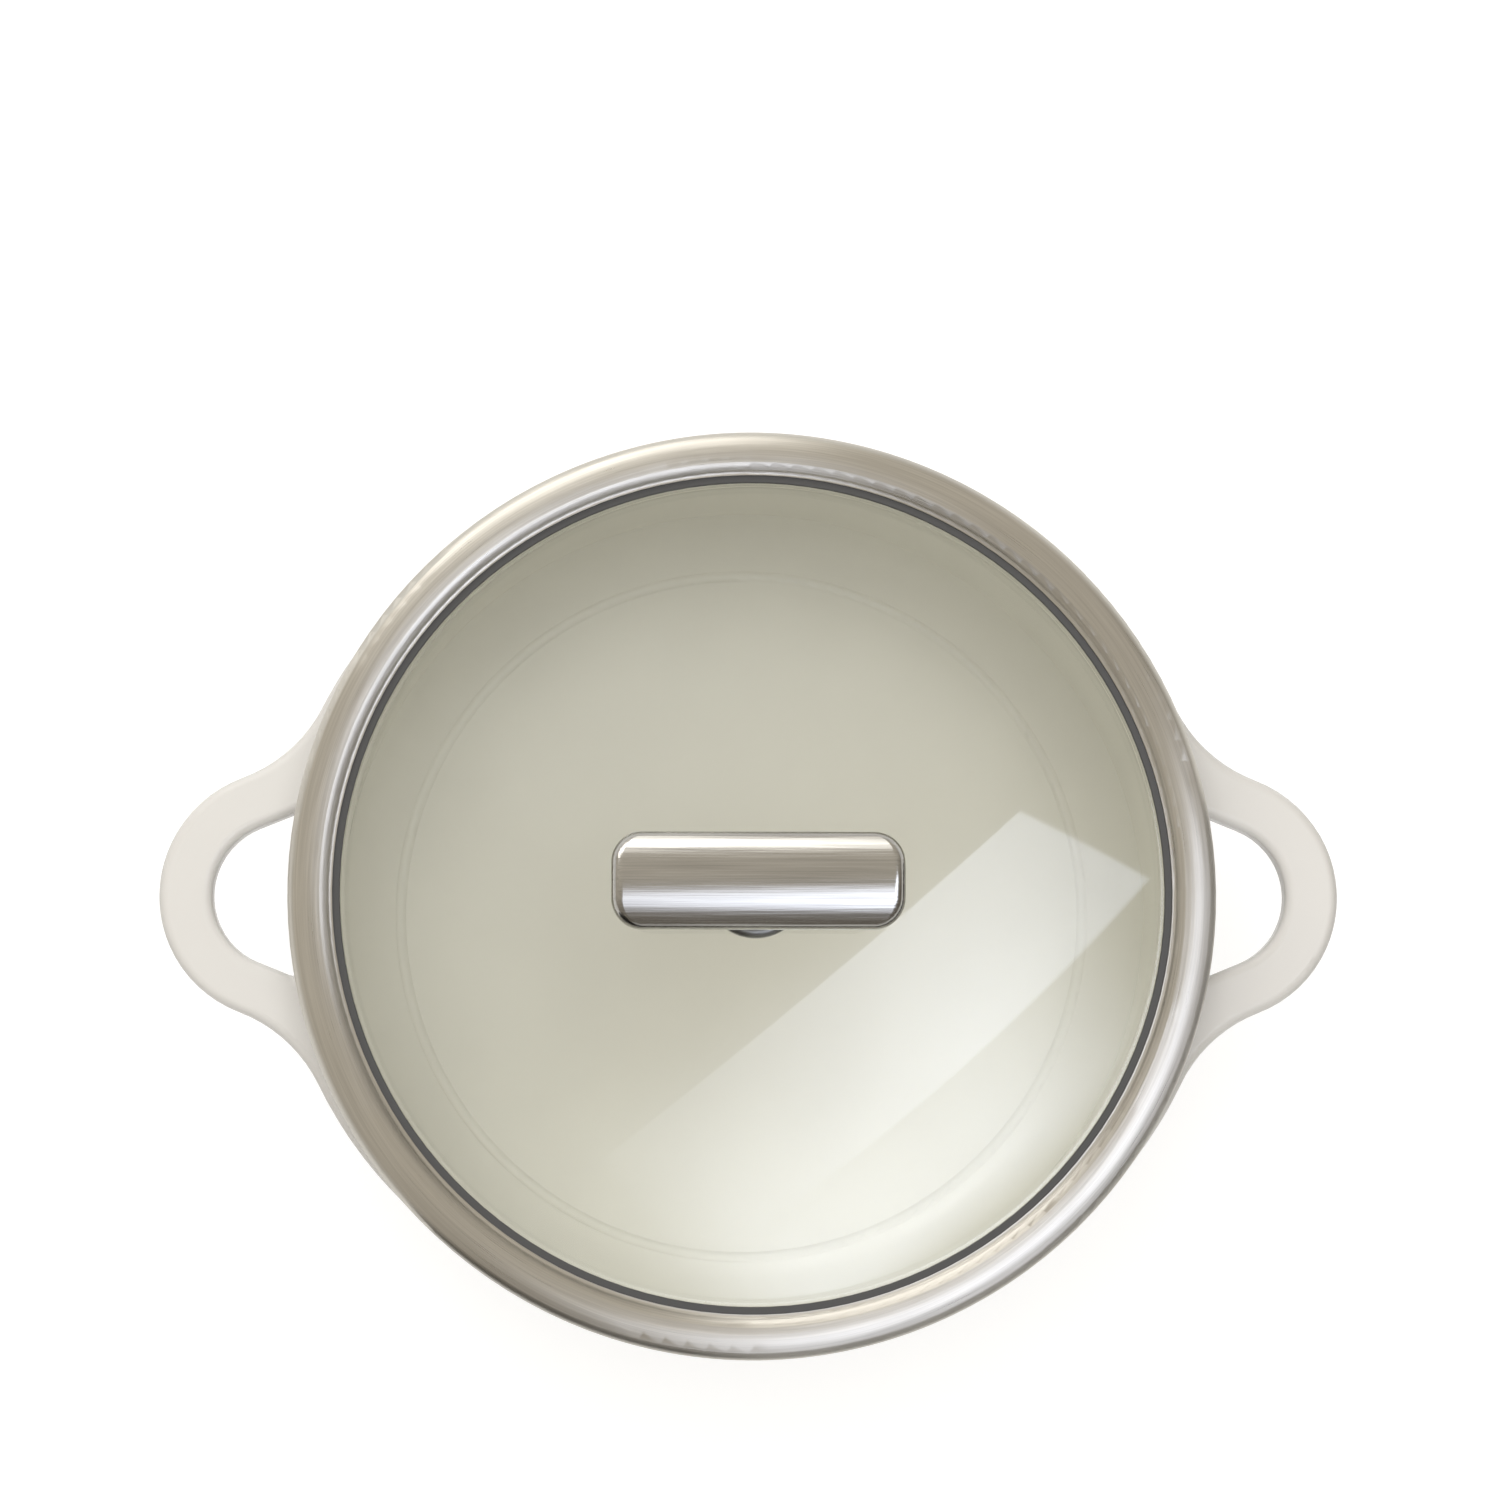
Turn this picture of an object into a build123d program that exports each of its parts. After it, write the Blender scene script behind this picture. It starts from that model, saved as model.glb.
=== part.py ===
from build123d import *
import os
from math import atan2, cos, degrees, hypot, radians, sin, sqrt, tan

# Round cast pan with two loop handles and a steel-rimmed glass lid.
# Millimetres, +Z up, origin on the table under the middle of the pan, +X through a loop handle.

# Cast pot: cavity, walls and lip
pot_bore = 237.0
pot_depth = 98.0
pot_wall = 4.0
pot_floor = 5.4
wall_draft = 1.5
foot_corner = 22.0
cove_run = 16.0
cove_rise = 18.0
cove_curve = 26.0
cove_edge = 2.0
ring_round = 2.0
ring_depth = 0.4
lip_swell = 0.6
lip_band = 7.0
lip_round = 0.8

# Steel base plate let into the underside
plate_diameter = 180.0
plate_thick = 2.0
plate_proud = 0.6
plate_clearance = 0.1
plate_edge = 0.4
groove_count = 3
groove_pitch = 22.0
groove_width = 1.6
groove_depth = 0.4

# Loop handles, cast in one with the pot
handle_span = 323.4
handle_drop = 13.0
handle_thick = 9.5
handle_edge = 2.7
loop_radius = 34.3
strap_width = 14.5
hole_splay = 22.0
root_flare = 40.0
hole_corner = 4.0
shoulder_shift = 14.0
shoulder_fade = 62.0
root_fillet = 4.0

# Lid rim: one formed strip of sheet, hemmed at the outside and turned down inside the pot
rim_sheet = 0.7
rim_width = 12.1
rim_clearance = 0.5
hem_drop = 3.0
lip_land = 0.3
bevel_round = 1.0
bevel_slope = 43.0
bevel_length = 0.6
crest_round = 4.0
crown_in = 12.0
crown_out = 25.0
rim_edge = 3.5
locating_depth = 6.0
locating_clearance = 1.5
hem_round = 0.5

# Silicone channel round the edge of the glass
seal_leg = 0.9
seal_shows = 2.0
seal_grip = 0.4
seal_round = 0.35

# Domed glass with a flat edge in the seal and a flat land round its hole
glass_thick = 4.0
glass_rise = 15.0
glass_inset = 4.5
glass_hole = 10.0
glass_blend = 3.0
dome_gap = 0.6

# Bar handle on its post and collar
bar_length = 76.0
bar_width = 25.3
bar_side = 5.5
bar_crown = 4.5
bar_corner = 8.0
bar_edge = 3.0
bar_underside = 1.5
finger_gap = 19.0
post_waist = 14.0
post_ends = 20.0
collar_diameter = 27.6
collar_height = 4.5
collar_round = 1.8

# Screw that draws the handle, collar and gaskets together through the glass
screw_diameter = 5.0
screw_engagement = 7.0
head_diameter = 9.5
head_height = 3.2
head_round = 1.6
slot_width = 1.1
slot_length = 5.4
slot_depth = 1.7
thread_clearance = 0.05
shank_clearance = 0.3
gasket_thick = 1.0
gasket_margin = 0.8
under_gasket = 20.0
sleeve_clearance = 0.15
washer_diameter = 17.0
washer_thick = 1.2
lock_diameter = 9.0
lock_thick = 1.2
lock_slit = 0.9

os.makedirs("parts", exist_ok=True)


def place(part, name):
    """Label a finished piece and write it under its own name."""
    part.label = name
    export_step(part, f"parts/{name}.step")


# Heights and radii that the pieces share
foot_z = plate_proud
floor_z = foot_z + pot_floor
lip_z = floor_z + pot_depth
taper = tan(radians(wall_draft))
bore_radius = pot_bore / 2
wall_radius = bore_radius + pot_wall
lip_radius = wall_radius + lip_swell
band_z = lip_z - lip_band
cove_z = floor_z + cove_rise
cove_radius = bore_radius - (lip_z - cove_z) * taper


def wall_radius_at(z):
    """Outside of the tapered wall at a height."""
    return wall_radius - (lip_z - z) * taper


# Loop handles: an eccentric shoulder swells out of the wall and carries the splayed strap
handle_z = lip_z - handle_drop - handle_thick
loop_x = handle_span / 2 - loop_radius
hole_radius = loop_radius - strap_width
root_radius = wall_radius_at(handle_z)
shoulder_radius = hypot(
    root_radius * cos(radians(shoulder_fade)) - shoulder_shift,
    root_radius * sin(radians(shoulder_fade)),
)
hole_turn = 90 - hole_splay
hole_root_x = root_radius * cos(radians(hole_splay)) - hole_corner

# Centre of the flare, a circle that touches the shoulder and the bow of the loop from outside
shoulder_reach = shoulder_radius + root_flare
loop_reach = loop_radius + root_flare
loop_gap = loop_x - shoulder_shift
flare_x = (shoulder_reach**2 - loop_reach**2 + loop_gap**2) / (2 * loop_gap)
flare_y = sqrt(shoulder_reach**2 - flare_x**2)
bow_turn = degrees(atan2(flare_y, flare_x - loop_gap))
root_x = shoulder_shift + flare_x * shoulder_radius / shoulder_reach
root_y = flare_y * shoulder_radius / shoulder_reach

with BuildPart() as loop_handle:
    with BuildSketch(Plane.XY.offset(handle_z)):
        with Locations((shoulder_shift, 0)):
            Circle(shoulder_radius)
        with BuildLine():
            bow = CenterArc((loop_x, 0), loop_radius, -bow_turn, 2 * bow_turn)
            RadiusArc(bow @ 1, (root_x, root_y), root_flare)
            Line((root_x, root_y), (root_x, -root_y))
            RadiusArc((root_x, -root_y), bow @ 0, root_flare)
        make_face()
        with BuildLine():
            hole_bow = CenterArc((loop_x, 0), hole_radius, -hole_turn, 2 * hole_turn)
            hole_run = (hole_bow @ 1).X - hole_root_x
            hole_y = (hole_bow @ 1).Y + hole_run * tan(radians(hole_splay))
            FilletPolyline(
                hole_bow @ 1,
                (hole_root_x, hole_y),
                (hole_root_x, -hole_y),
                hole_bow @ 0,
                radius=hole_corner,
            )
        make_face(mode=Mode.SUBTRACT)
    extrude(amount=handle_thick)
    fillet(loop_handle.edges().filter_by(Axis.Z, reverse=True), handle_edge)

# Pot casting: the outside and the handles first, then the cavity and the recess of the base plate
with BuildPart() as pot_body:
    with BuildSketch(Plane.XZ):
        with BuildLine():
            skin = FilletPolyline(
                (0, foot_z),
                (wall_radius_at(foot_z), foot_z),
                (wall_radius_at(band_z - lip_swell), band_z - lip_swell),
                (lip_radius, band_z + lip_swell),
                (lip_radius, lip_z),
                radius=[foot_corner, lip_swell, lip_swell],
            )
            Polyline(skin @ 1, (0, lip_z), (0, foot_z))
        make_face()
    revolve(axis=Axis.Z)
    add(loop_handle.part)
    fillet(pot_body.edges(Select.NEW), root_fillet)
    mirror(loop_handle.part, about=Plane.YZ)
    fillet(pot_body.edges(Select.NEW), root_fillet)
    with BuildSketch(Plane.XZ) as cavity:
        with BuildLine():
            cove = RadiusArc((cove_radius - cove_run, floor_z), (cove_radius, cove_z), -cove_curve)
            Polyline(cove @ 1, (bore_radius, lip_z), (0, lip_z), (0, floor_z), cove @ 0)
        make_face()
        cove_ends = cavity.vertices().filter_by(lambda corner: corner.X > 0 and corner.Y < lip_z)
        fillet(cove_ends, cove_edge)
        with Locations((cove_radius - cove_run, floor_z - ring_depth + ring_round)):
            Circle(ring_round)
    revolve(axis=Axis.Z, mode=Mode.SUBTRACT)
    with BuildSketch(Plane.XY.offset(foot_z)):
        Circle(plate_diameter / 2 + plate_clearance)
    extrude(amount=plate_thick - plate_proud, mode=Mode.SUBTRACT)
    fillet(pot_body.faces().sort_by(Axis.Z)[-1].edges(), lip_round)
place(pot_body.part, "pot_body")

# Base plate with shallow rings rolled into the face it stands on
with BuildPart() as base_plate:
    with BuildSketch():
        Circle(plate_diameter / 2)
    extrude(amount=plate_thick)
    with BuildSketch():
        for ring in range(groove_count, 0, -1):
            Circle(ring * groove_pitch + groove_width / 2)
            Circle(ring * groove_pitch - groove_width / 2, mode=Mode.SUBTRACT)
    extrude(amount=groove_depth, mode=Mode.SUBTRACT)
    chamfer(base_plate.faces().sort_by(Axis.Z)[0].edges().sort_by(SortBy.LENGTH)[-1], plate_edge)
place(base_plate.part, "base_plate")

# Lid heights, stacked up from the lip that it rests on
seat_z = lip_z
glass_low = seat_z + rim_sheet + seal_leg
flange_z = glass_low + glass_thick
rim_lip_z = flange_z + seal_leg
glass_top = flange_z + glass_rise
glass_under = glass_top - glass_thick

# Lid radii, worked inwards from the rim that overhangs the lip
hem_radius = lip_radius + rim_clearance
rim_radius = hem_radius + 2 * rim_sheet
rim_lip_radius = rim_radius - rim_width
locating_radius = bore_radius - locating_clearance
seat_radius = locating_radius - rim_sheet
glass_radius = rim_radius - glass_inset
dome_radius = rim_lip_radius - seal_shows - dome_gap
land_radius = collar_diameter / 2 - gasket_margin

# Rim strip: flat lip on the seal, bevel, crowned top, rolled edge, hem, seat and locating skirt
bevel_reach = lip_land + bevel_round * sin(radians(bevel_slope)) + bevel_length * cos(radians(bevel_slope))
crest_reach = crest_round * (sin(radians(bevel_slope)) - sin(radians(crown_in)))
edge_reach = rim_edge * (1 - sin(radians(crown_out)))
crown_reach = rim_width - bevel_reach - crest_reach - edge_reach
crown_radius = crown_reach / (sin(radians(crown_in)) + sin(radians(crown_out)))

with BuildPart() as lid_rim:
    with BuildSketch(Plane.XZ) as rim_section:
        with BuildLine():
            lip_run = Line(
                (rim_lip_radius, rim_lip_z + rim_sheet),
                (rim_lip_radius + lip_land, rim_lip_z + rim_sheet),
            )
            bevel_foot = JernArc(lip_run @ 1, lip_run % 1, bevel_round, bevel_slope)
            bevel = Line(bevel_foot @ 1, bevel_foot @ 1 + bevel_foot % 1 * bevel_length)
            crest = JernArc(bevel @ 1, bevel % 1, crest_round, crown_in - bevel_slope)
            crown = JernArc(crest @ 1, crest % 1, crown_radius, -(crown_in + crown_out))
            roll = JernArc(crown @ 1, crown % 1, rim_edge, -(90 - crown_out))
            Line(roll @ 1, (rim_radius, seat_z - hem_drop))
            offset(amount=rim_sheet, side=Side.RIGHT)
        make_face()
        with BuildLine():
            Polyline(
                (rim_radius - rim_sheet, seat_z - hem_drop),
                (rim_radius - rim_sheet, seat_z + rim_sheet),
                (seat_radius, seat_z + rim_sheet),
                (seat_radius, seat_z - locating_depth),
                (locating_radius, seat_z - locating_depth),
                (locating_radius, seat_z),
                (hem_radius, seat_z),
                (hem_radius, seat_z - hem_drop),
                close=True,
            )
        make_face()
        hem = rim_section.vertices().filter_by_position(
            Axis.Y, seat_z - hem_drop - rim_sheet, seat_z - hem_drop + rim_sheet
        )
        fillet([hem.sort_by(Axis.X)[0], hem.sort_by(Axis.X)[-1]], hem_round)
    revolve(axis=Axis.Z)
place(lid_rim.part, "lid_rim")

# Seal: a channel that wraps the edge of the glass and shows as a ring inside the rim
with BuildPart() as rim_seal:
    with BuildSketch(Plane.XZ) as seal_section:
        with BuildLine():
            Polyline(
                (rim_lip_radius - seal_shows, flange_z),
                (glass_radius, flange_z),
                (glass_radius, glass_low),
                (seat_radius + seal_grip, glass_low),
                (seat_radius + seal_grip, glass_low - seal_leg),
                (glass_radius + seal_leg, glass_low - seal_leg),
                (glass_radius + seal_leg, rim_lip_z),
                (rim_lip_radius - seal_shows, rim_lip_z),
                close=True,
            )
        make_face()
        fillet(seal_section.vertices().group_by(Axis.Y)[-1].sort_by(Axis.X)[0], seal_round)
    revolve(axis=Axis.Z)
place(rim_seal.part, "rim_seal")

# Glass: a flat land under the gasket, a dome round the middle axis and a flat edge inside the seal
dome_middle_z = (glass_top + flange_z) / 2 - (dome_radius**2 - land_radius**2) / (2 * glass_rise)
dome_curve = hypot(dome_radius, flange_z - dome_middle_z)

with BuildPart() as lid_glass:
    with BuildSketch(Plane.XZ) as glass_section:
        with BuildLine():
            land = Line((glass_hole / 2, glass_top), (land_radius, glass_top))
            dome = RadiusArc(land @ 1, (dome_radius, flange_z), dome_curve)
            Line(dome @ 1, (glass_radius, flange_z))
            offset(amount=glass_thick, side=Side.RIGHT)
        make_face()
        fillet(glass_section.vertices().sort_by_distance(dome @ 1)[0], glass_blend)
    revolve(axis=Axis.Z)
place(lid_glass.part, "lid_glass")

# Handle stack above the glass
collar_z = glass_top + gasket_thick
post_z = collar_z + collar_height
bar_z = glass_top + finger_gap
shank_hole = screw_diameter / 2 + shank_clearance
thread_hole = screw_diameter / 2 + thread_clearance

with BuildPart() as lid_handle:
    with BuildSketch(Plane.YZ):
        with BuildLine():
            base = Polyline(
                (-bar_width / 2, bar_z + bar_side),
                (-bar_width / 2, bar_z),
                (bar_width / 2, bar_z),
                (bar_width / 2, bar_z + bar_side),
            )
            ThreePointArc(base @ 1, (0, bar_z + bar_side + bar_crown), base @ 0)
        make_face()
    extrude(amount=bar_length / 2, both=True)
    fillet(lid_handle.edges().filter_by(Axis.Z), bar_corner)
    fillet(lid_handle.faces().sort_by(Axis.Z)[0].edges(), bar_underside)
    fillet(lid_handle.faces().sort_by(Axis.Z)[-1].edges(), bar_edge)
    with BuildSketch(Plane.XZ):
        with BuildLine():
            waist = ThreePointArc(
                (post_ends / 2, post_z),
                (post_waist / 2, (post_z + bar_z) / 2),
                (post_ends / 2, bar_z),
            )
            Polyline(waist @ 1, (0, bar_z), (0, post_z), waist @ 0)
        make_face()
    revolve(axis=Axis.Z)
    with BuildSketch(Plane.XY.offset(post_z)):
        Circle(thread_hole)
    extrude(amount=bar_z + screw_engagement - post_z, mode=Mode.SUBTRACT)
place(lid_handle.part, "lid_handle")

with BuildPart() as handle_collar:
    with BuildSketch(Plane.XY.offset(collar_z)):
        Circle(collar_diameter / 2)
        Circle(shank_hole, mode=Mode.SUBTRACT)
    extrude(amount=collar_height)
    fillet(handle_collar.faces().sort_by(Axis.Z)[-1].edges().sort_by(SortBy.LENGTH)[-1], collar_round)
place(handle_collar.part, "handle_collar")

with BuildPart() as upper_gasket:
    with BuildSketch(Plane.XY.offset(glass_top)):
        Circle(land_radius)
        Circle(shank_hole, mode=Mode.SUBTRACT)
    extrude(amount=gasket_thick)
place(upper_gasket.part, "upper_gasket")

# Lower gasket with a sleeve that keeps the screw off the glass
with BuildPart() as lower_gasket:
    with BuildSketch(Plane.XY.offset(glass_under - gasket_thick)):
        Circle(under_gasket / 2)
    extrude(amount=gasket_thick)
    with BuildSketch(Plane.XY.offset(glass_under)):
        Circle(glass_hole / 2 - sleeve_clearance)
    extrude(amount=glass_thick - sleeve_clearance)
    with BuildSketch(Plane.XY.offset(glass_under - gasket_thick)):
        Circle(shank_hole)
    extrude(amount=gasket_thick + glass_thick, mode=Mode.SUBTRACT)
place(lower_gasket.part, "lower_gasket")

washer_z = glass_under - gasket_thick - washer_thick
with BuildPart() as flat_washer:
    with BuildSketch(Plane.XY.offset(washer_z)):
        Circle(washer_diameter / 2)
        Circle(shank_hole, mode=Mode.SUBTRACT)
    extrude(amount=washer_thick)
place(flat_washer.part, "flat_washer")

# Split lock washer, drawn flat
lock_z = washer_z - lock_thick
with BuildPart() as lock_washer:
    with BuildSketch(Plane.XY.offset(lock_z)):
        Circle(lock_diameter / 2)
        Circle(shank_hole, mode=Mode.SUBTRACT)
        with Locations((lock_diameter / 4, 0)):
            Rectangle(lock_diameter / 2, lock_slit, mode=Mode.SUBTRACT)
    extrude(amount=lock_thick)
place(lock_washer.part, "lock_washer")

# Screw: shank up into the bar, round head under the washers with a cross slot
head_z = lock_z - head_height
with BuildPart() as handle_screw:
    with BuildSketch(Plane.XY.offset(head_z)):
        Circle(head_diameter / 2)
    extrude(amount=head_height)
    fillet(handle_screw.faces().sort_by(Axis.Z)[0].edges(), head_round)
    with BuildSketch(Plane.XY.offset(lock_z)):
        Circle(screw_diameter / 2)
    extrude(amount=bar_z + screw_engagement - thread_clearance - lock_z)
    with BuildSketch(Plane.XY.offset(head_z)):
        Rectangle(slot_length, slot_width)
        Rectangle(slot_width, slot_length)
    extrude(amount=slot_depth, mode=Mode.SUBTRACT)
place(handle_screw.part, "handle_screw")
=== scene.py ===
from math import pi

import bpy
import numpy as np
from bpy.props import FloatProperty, FloatVectorProperty, PointerProperty
from bpy.types import Operator, Panel, PropertyGroup
from mathutils import Matrix, Vector


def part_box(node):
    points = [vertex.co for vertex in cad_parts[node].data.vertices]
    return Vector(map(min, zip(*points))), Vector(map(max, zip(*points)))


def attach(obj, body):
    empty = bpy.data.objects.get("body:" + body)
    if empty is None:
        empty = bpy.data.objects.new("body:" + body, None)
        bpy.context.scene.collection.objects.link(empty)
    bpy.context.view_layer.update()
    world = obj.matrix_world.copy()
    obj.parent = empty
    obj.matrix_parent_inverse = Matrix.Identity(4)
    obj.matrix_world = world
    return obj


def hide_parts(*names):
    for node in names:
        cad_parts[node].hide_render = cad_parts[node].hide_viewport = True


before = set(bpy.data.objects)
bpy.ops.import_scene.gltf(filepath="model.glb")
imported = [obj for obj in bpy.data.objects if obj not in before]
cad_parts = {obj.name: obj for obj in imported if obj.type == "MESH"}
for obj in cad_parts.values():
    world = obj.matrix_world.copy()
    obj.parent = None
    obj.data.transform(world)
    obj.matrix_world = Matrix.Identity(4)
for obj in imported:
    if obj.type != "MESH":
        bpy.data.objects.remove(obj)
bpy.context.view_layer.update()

bl_info = {
    "name": "Cast Pan With Glass Lid",
    "version": (1, 0, 0),
    "blender": (4, 5, 0),
    "location": "View3D > Sidebar > Pan",
    "description": "Finishes, lights and camera for a round cast pan with a steel-rimmed glass lid",
    "category": "Object",
}

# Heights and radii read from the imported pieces, in metres
LIP_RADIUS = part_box("pot_body")[1].y
GLASS_LOW, GLASS_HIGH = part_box("lid_glass")
LAND_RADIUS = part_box("upper_gasket")[1].x
SCREW_LOW, SCREW_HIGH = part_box("handle_screw")
WASHER_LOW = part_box("lock_washer")[0].z

# Photograph: frame size, focal length and the middle of the lid rim, in pixels
PHOTO_SIZE = 1500
PHOTO_FOCAL = 3710
PHOTO_RIM_MIDDLE = (753.0, 891.5)
SENSOR_WIDTH = 36.0

WHITE = (1.0, 1.0, 1.0)
DOWN = (0, 0, -1)

# Brush lines: width of the broad ones against the fine ones, noise detail, sweeps for long and short lines
BROAD_LINES = 4.0
LINE_DETAIL = 3.0
LONG_LINES, SHORT_LINES = 1.2, 3.0

# Share of a full turn that sets the highlight across lines that run round Z
ACROSS_LINES = 0.25

# How far lines and handling marks change the tone and the roughness of steel, as shares
TONE_CHANGE, STREAK_CHANGE, MARK_CHANGE = 0.45, 0.28, 0.12

# How far the mottle changes each colour and the gloss, as shares
COAT_CHANGE, LINING_CHANGE, SILICONE_CHANGE, GLOSS_CHANGE = 0.03, 0.04, 0.12, 0.2

# Noise scales of the handling marks and of the mottle, to the metre
MARK_SCALE, MOTTLE_SCALE = 45.0, 30.0

# Grain of coat, silicone and smears on the glass, in metres
COAT_GRAIN, SILICONE_GRAIN, SMEAR_GRAIN = 0.0012, 0.0004, 0.006

# Fine relief: its height in metres and how strongly it shows
BRUSH_RELIEF = (0.00006, 0.6)
COAT_RELIEF = (0.00001, 0.06)
SILICONE_RELIEF = (0.00003, 0.3)

# A face of the casting counts as facing up while the Z of its normal is over this
UPWARD = -0.01

# Silicone's roughness from least to most; roughness of the smears, index and clearness of the glass
SILICONE_ROUGHNESS = (0.5, 0.65)
SMEAR_ROUGHNESS = 0.02
GLASS_INDEX = 1.5
GLASS_CLEAR = 0.985

# Rows and columns of the turned grids
ROUND_ROWS = 9
SCREW_COLUMNS, THREAD_ROWS = 84, 12
GLASS_COLUMNS, DOME_ROWS = 256, 64

# Screw: flat share of crest and root, thread depths that the tip is smaller, inner ring of the recess
THREAD_FLAT = 0.1
TIP_TAPER = 1.2
RECESS_INNER = 0.5

# Keeps a division from zero
TINY = 1e-9

# Floor: radii of its first two rings, step to the first ring that rises, rows and columns
FLOOR_MIDDLE, FLOOR_FIRST, FLOOR_STEP = 0.02, 0.5, 0.2
FLAT_ROWS, COVE_ROWS, FLOOR_COLUMNS = 9, 24, 96

# Dark card: from where to where it stands, where it is highest and how far that spreads, in degrees
FLAG_START, FLAG_END, FLAG_PEAK, FLAG_SPREAD = 222, 374, 245, 30
FLAG_STATIONS = 72
FLAG_THICK = 0.004
FLAG_SHADE = (0.02, 0.018, 0.016)

# Share of its height from which the card fades out
FLAG_FADE = 0.7

# World: which way it brightens, and how far along that it is darkest and brightest
SKY_LEAN = (-0.45, 0.65, 0.55)
SKY_DARKEST, SKY_BRIGHTEST = -0.6, 0.95

# Long side of the two softboxes that the glass mirrors
MIRRORED_ALONG = (0.77, 0.638, 0)

# Edges that turn more than this stay sharp on the curved pieces, in radians
SHARP_EDGE = 0.6


def colour(name, description, default):
    """Colour property with red, green and blue in linear light."""
    return FloatVectorProperty(
        name=name, description=description, subtype="COLOR", size=3, min=0, max=1, default=default
    )


def share(name, description, default):
    """Property between nothing and all."""
    return FloatProperty(
        name=name, description=description, subtype="FACTOR", min=0, max=1, default=default
    )


def length(name, description, default):
    """Property for a size in metres."""
    return FloatProperty(
        name=name, description=description, subtype="DISTANCE", unit="LENGTH", min=0, default=default
    )


def level(name, description, default):
    """Property for a brightness, where 1 is white."""
    return FloatProperty(name=name, description=description, min=0, default=default)


class PanFinish(PropertyGroup):
    """Colours and gloss of the pan's surfaces."""

    coat: colour("White coat", "Ceramic coat on the outside of the casting", (0.73, 0.726, 0.715))
    coat_roughness: share("Coat roughness", "Gloss of the white coat", 0.24)
    coat_shine: share("Coat shine", "How strongly coat and lining mirror, where 0.5 is glassy", 0.2)
    lining: colour("Lining", "Ceramic lining inside the pot", (0.80, 0.797, 0.738))
    lining_roughness: share("Lining roughness", "Gloss of the lining", 0.18)
    wall: length("Wall at the lip", "How far the lining stops inside the lip", 0.0036)
    rim: colour("Rim steel", "Strip of the lid rim", (0.545, 0.523, 0.474))
    rim_roughness: share("Rim roughness", "Brushed round the rim", 0.30)
    handle: colour("Handle steel", "Bar and post of the lid handle", (0.44, 0.43, 0.405))
    handle_roughness: share("Handle roughness", "Brushed along the bar", 0.15)
    # The collar colour is far darker than the other steel: painted shade and painted dark reflection of the
    # bar's underside, not the steel's own tone
    collar: colour("Collar steel", "Collar under the post", (0.20, 0.20, 0.19))
    collar_roughness: share("Collar roughness", "Brushed round the collar", 0.28)
    plate: colour("Base steel", "Turned plate under the pot", (0.55, 0.54, 0.52))
    plate_roughness: share("Base roughness", "Turned round the plate", 0.34)
    fastener: colour("Fastener steel", "Screw and washers", (0.58, 0.58, 0.58))
    fastener_roughness: share("Fastener roughness", "Turned round screw and washers", 0.32)
    brush: share("Brush anisotropy", "How far brushed steel stretches a highlight", 0.88)
    line_spacing: length("Brush line spacing", "Distance between brush lines", 0.00022)
    line_length: length("Brush line length", "Length of the brush lines along the bar", 0.03)
    silicone: colour("Silicone", "Seal and gaskets", (0.062, 0.062, 0.062))
    glass: colour("Glass tint", "What the lid glass lets through", (0.98, 0.985, 0.978))
    glass_thick: length("Glass thickness", "Thickness of the lid glass", 0.004)
    glass_hole: length("Glass hole", "Hole in the middle of the lid glass", 0.010)
    glass_blend: length("Glass blend", "Radius where the dome meets the flat edge", 0.003)
    dome_radius: length("Dome radius", "Where the dome would meet the flat edge", 0.1103)
    thread_pitch: length("Thread pitch", "Pitch of the handle screw", 0.0008)
    thread_depth: length("Thread depth", "From crest to root of the handle screw", 0.00043)
    thread_length: length("Thread length", "Threaded end of the handle screw", 0.016)
    screw_diameter: length("Screw diameter", "Over the crests of the thread", 0.005)
    head_round: length("Head round", "Radius at the edge of the screw head", 0.0016)
    recess_length: length("Recess length", "Across the arms of the cross recess", 0.0054)
    recess_width: length("Recess width", "Width of each arm of the cross recess", 0.0011)
    recess_depth: length("Recess depth", "Depth of the cross recess", 0.0017)


class PanStudio(PropertyGroup):
    """Lamps, world, floor and camera."""

    strip: level("Strip lamp", "Brightness of the narrow softbox", 2.5)
    south: level("South lamp", "Brightness of the wide softbox in front", 3.15)
    north: level("North lamp", "Brightness of the softbox behind", 5.2)
    key: level("Key lamp", "Brightness of the large softbox overhead", 2.85)
    fill: level("Fill lamp", "Brightness of the large softbox low in front", 4.8)
    lamp_tint: colour("Lamp tint", "Colour of the two softboxes that the glass mirrors", (0.78, 0.84, 1.0))
    sky_bright: colour("Bright sky", "World colour overhead and behind", (0.72, 0.665, 0.575))
    sky_dark: colour("Dark sky", "World colour low in front", (0.17, 0.15, 0.125))
    floor: colour("Floor", "Colour that the floor scatters", (0.42, 0.42, 0.415))
    floor_glow: level("Floor glow", "Brightness of the floor itself, as seen directly", 0.73)
    floor_reach: length("Floor reach", "Radius of the floor", 7.0)
    floor_flat: length("Flat floor", "Radius where the floor starts to rise", 4.5)
    floor_drop: length("Floor drop", "How far the floor lies under the base", 0.0003)
    cove: length("Cove height", "Rise of the floor at its edge", 1.6)
    flag_radius: length("Flag radius", "Distance of the dark card from the middle", 0.42)
    flag_height: length("Flag height", "Height of the dark card", 0.135)
    flag_peak: length("Flag peak", "Rise of the dark card in front, to the left", 0.188)
    camera_rise: length("Camera rise", "Height of the camera over the lid rim", 1.0)
    camera_side: FloatProperty(
        name="Camera side", description="Camera's place along X", unit="LENGTH", default=-0.0323
    )
    camera_front: FloatProperty(
        name="Camera front", description="Camera's place along Y", unit="LENGTH", default=-0.0674
    )
    rim_height: length("Rim height", "Height of the ring that the camera is lined up on", 0.105)


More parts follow.
